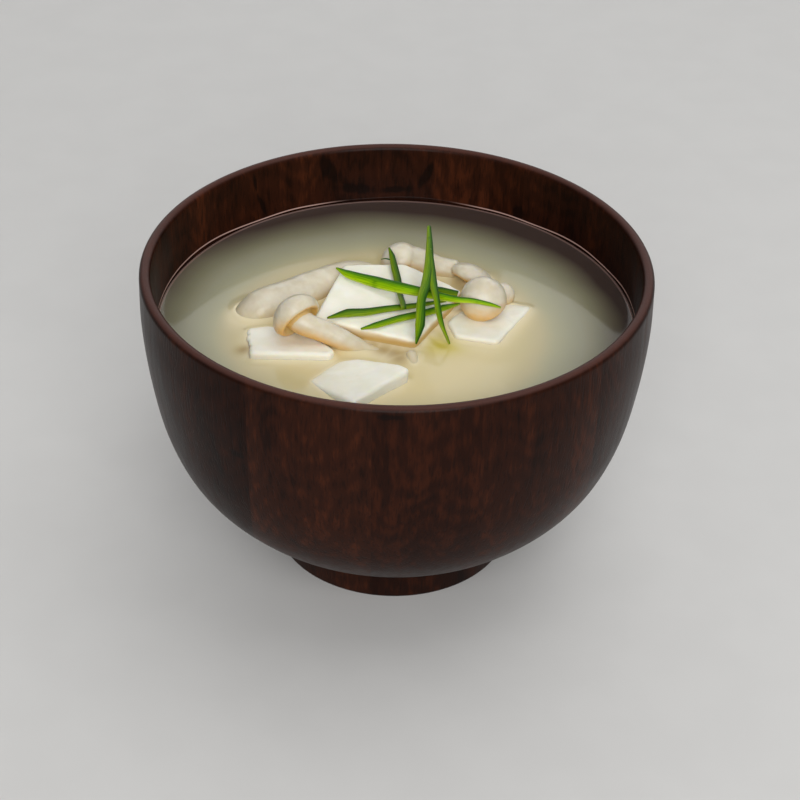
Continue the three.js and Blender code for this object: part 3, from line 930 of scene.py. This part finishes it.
def tofu_finish():
    """Silken tofu: warm white, its sides painted paler than its top for the light they lack, ochre
    where soup-coloured and shaded, faintly pitted and moist.
    """
    tofu = Finish(
        "silken_tofu", IOR=1.4, Subsurface_Weight=0.6, Subsurface_Radius=(1.0, 0.82, 0.55),
        Subsurface_Scale=0.0005)
    mottle = tofu.noise(tofu.place(), 240, 3.0)
    # Painted light: the unstained sides below are paler than this top, making up for the light that
    # falls less on them.
    top = tofu.ramp(mottle, [(0.3, rgb(240, 237, 219)), (0.7, rgb(246, 243, 230))])
    up = tofu.between(tofu.facing_up(), 0.1, 0.9)
    # Stain and painted shade: the sides turn ochre with the soup's colour and with shade, fading up
    # from the soup.
    sides = tofu.mix(tofu.value("stained_and_shaded"), rgb(253, 250, 236), rgb(202, 168, 102))
    tofu.colour(tofu.soaked(tofu.mix(up, sides, top), 0.9, 0.4, rgb(228, 216, 178)))
    tofu.roughness(tofu.math("MULTIPLY_ADD", mottle, 0.2, 0.3))
    pits = tofu.noise(tofu.place(), 1500, 2.0)
    tofu.bump(pits, 0.00006, 0.5)
    return tofu.material


def mushroom_finish():
    """Cooked shimeji: cream flesh, ochre as painted shade where it turns down and in the hollow,
    wet.
    """
    flesh = Finish(
        "shimeji", Roughness=0.28, IOR=1.38, Subsurface_Weight=0.6,
        Subsurface_Radius=(1.0, 0.75, 0.4), Subsurface_Scale=0.0005)
    mottle = flesh.noise(flesh.place(), 300, 3.0)
    cream = flesh.ramp(mottle, [(0.3, rgb(208, 198, 174)), (0.7, rgb(220, 213, 194))])
    # Painted shade: the flesh turns ochre where it faces down, as shade warmed by light from the
    # soup.
    up = flesh.between(flesh.facing_up(), -0.6, 0.5)
    shaded_below = flesh.mix(up, rgb(226, 178, 98), cream)
    # Painted shade in the hollow under the cap.
    deep = flesh.mix(
        flesh.math("MULTIPLY", flesh.value("hollow"), 0.8), shaded_below, rgb(214, 178, 98))
    flesh.colour(flesh.soaked(deep, 2.6, 0.75, rgb(204, 188, 148)))
    fibres = flesh.noise(flesh.place(), 900, 3.0)
    flesh.bump(fibres, 0.00008, 0.35)
    return flesh.material


def scallion_finish():
    """Scallion leaf: dark green at one edge to yellow-green at the other, with fine veins and a
    painted highlight along its edges.
    """
    leaf = Finish(
        "scallion_leaf", Roughness=0.38, IOR=1.45, Specular_IOR_Level=0.14,
        Subsurface_Weight=0.2, Subsurface_Radius=(0.6, 1.0, 0.05), Subsurface_Scale=0.001)
    sideways, lengthways = leaf.value("across"), leaf.value("along")
    # The paler colour right at both edges is a painted highlight, the glint of the wet edges.
    green = leaf.ramp(leaf.math("MULTIPLY_ADD", sideways, 0.5, 0.5), [
        (0.0, rgb(206, 228, 80)), (0.12, rgb(180, 214, 8)), (0.42, rgb(146, 194, 0)),
        (0.66, rgb(100, 158, 0)), (0.88, rgb(48, 108, 4)), (1.0, rgb(66, 124, 34))])
    vein_place = leaf.node("CombineXYZ", inputs={
        0: leaf.math("MULTIPLY", sideways, 3.2), 1: leaf.math("MULTIPLY", lengthways, 0.12)})
    veins = leaf.noise(vein_place, 1.6, 3.0)
    streaked = leaf.mix(1.0, green, leaf.ramp(veins, [
        (0.32, rgb(190, 204, 160)), (0.6, rgb(255, 255, 255))]), "MULTIPLY")
    patches = leaf.noise(leaf.place(), 260, 2.0)
    patched = leaf.mix(leaf.between(patches, 0.6, 0.9), streaked, rgb(70, 128, 4))
    tone = leaf.ramp(leaf.value("tone"), [(0, rgb(0, 0, 0)), (1, rgb(255, 255, 255))], "LINEAR")
    leaf.colour(leaf.mix(1.0, patched, tone, "MULTIPLY"))
    leaf.bump(leaf.math("SINE", leaf.math("MULTIPLY", sideways, 22.0)), 0.00003, 0.5)
    return leaf.material


# ---- Making the pieces ----

add_piece("bowl_wood", make_bowl(), wood_finish(), "bowl")

tofu_look, mushroom_look, scallion_look = tofu_finish(), mushroom_finish(), scallion_finish()
food = []
for name, block in TOFU.items():
    shape, stained_and_shaded = make_tofu(**block)
    food.append(shape)
    add_piece(name + "_piece", shape, tofu_look, name, {"stained_and_shaded": stained_and_shaded})
for name, mushroom in MUSHROOMS.items():
    shape, hollow = make_mushroom(**mushroom)
    food.append(shape)
    add_piece(name + "_piece", shape, mushroom_look, name, {"hollow": hollow})
for name, legs in SLIVERS.items():
    sliver, places = make_scallion(legs)
    places["tone"] = np.full(len(sliver[0]), LEAF_TONES[name])
    add_piece(name + "_leaf", sliver, scallion_look, name, places)

sunk, _ = make_tofu(**SUNK_TOFU)
soup, seen = make_soup(food, sunk)
add_piece("soup_body", soup, soup_finish(), "soup", seen)

# ---- Camera, in millimetres and degrees ----

# The distance and the elevation are from a point on the bowl's axis, AIM_HEIGHT over the floor.
# The aim is that point, moved by the pan and the tilt.
CAMERA_DISTANCE = 459.18
CAMERA_ELEVATION = 35.16
AIM_HEIGHT = 35
FOCAL_LENGTH = 87.84
AIM_PAN = 0.193
AIM_TILT = 0.155
CAMERA_ROLL = 1.203


def add_camera():
    """A camera in front of the bowl that looks down into it."""
    elevation = math.radians(CAMERA_ELEVATION)
    tilt = -elevation + math.radians(AIM_TILT)
    pan = math.radians(AIM_PAN)
    place = Vector((0, -CAMERA_DISTANCE * math.cos(elevation),
                    AIM_HEIGHT + CAMERA_DISTANCE * math.sin(elevation)))
    ahead = Vector((math.sin(pan) * math.cos(tilt), math.cos(pan) * math.cos(tilt), math.sin(tilt)))
    camera = bpy.data.objects.new("camera", bpy.data.cameras.new("camera"))
    bpy.context.scene.collection.objects.link(camera)
    camera.data.lens = FOCAL_LENGTH
    camera.location = place * MM
    level = ahead.to_track_quat("-Z", "Y")
    camera.rotation_mode = "QUATERNION"
    camera.rotation_quaternion = Quaternion(ahead, -math.radians(CAMERA_ROLL)) @ level
    camera.data.clip_start = 0.01
    bpy.context.scene.camera = camera


# ---- Floor and light, in metres and watts ----

FLOOR_REACH = 3.0
# Each softbox by its place, its size and its power: a small one overhead, a wide one behind that
# the soup mirrors, and a strong one in front.
SOFTBOXES = {
    "softbox_key": ((0.25, 0.0, 1.0), (0.7, 0.7), 2.4),
    "softbox_back": ((0.1, 1.1, 0.6), (1.7, 0.8), 3.8),
    "softbox_front": ((0.1, -1.08, 0.7), (1.0, 0.8), 12.9),
}
SURROUND_LIGHT = 0.3


def add_floor():
    """A pale floor, far wider than the bowl."""
    mesh = bpy.data.meshes.new("floor")
    corners = FLOOR_REACH * np.array([(-1, -1, 0), (1, -1, 0), (1, 1, 0), (-1, 1, 0)])
    mesh.from_pydata(corners.tolist(), [], [(0, 1, 2, 3)])
    pale = Finish("pale_floor", Roughness=0.55)
    pale.colour(pale.ramp(pale.noise(pale.place(), 60, 2.0), [
        (0.3, rgb(208, 207, 205)), (0.7, rgb(210, 209, 207))]))
    mesh.materials.append(pale.material)
    floor = bpy.data.objects.new("floor", mesh)
    bpy.context.scene.collection.objects.link(floor)


def add_softbox(name, place, size, power):
    """An area light that points at the soup."""
    lamp = bpy.data.lights.new(name, "AREA")
    lamp.shape = "RECTANGLE"
    lamp.size, lamp.size_y = size
    lamp.energy = power
    box = bpy.data.objects.new(name, lamp)
    bpy.context.scene.collection.objects.link(box)
    box.location = place
    box.visible_camera = False
    aim = Vector((0, 0, SOUP_LEVEL * MM)) - Vector(place)
    box.rotation_mode = "QUATERNION"
    box.rotation_quaternion = aim.to_track_quat("-Z", "Y")


def add_light():
    """The softboxes, and an even white surround."""
    for name, (place, size, power) in SOFTBOXES.items():
        add_softbox(name, place, size, power)
    world = bpy.data.worlds.new("studio")
    world.use_nodes = True
    surround = world.node_tree.nodes["Background"]
    surround.inputs["Color"].default_value = (1, 1, 1, 1)
    surround.inputs["Strength"].default_value = SURROUND_LIGHT
    bpy.context.scene.world = world
    bpy.context.scene.view_settings.view_transform = "Standard"


add_camera()
add_floor()
add_light()
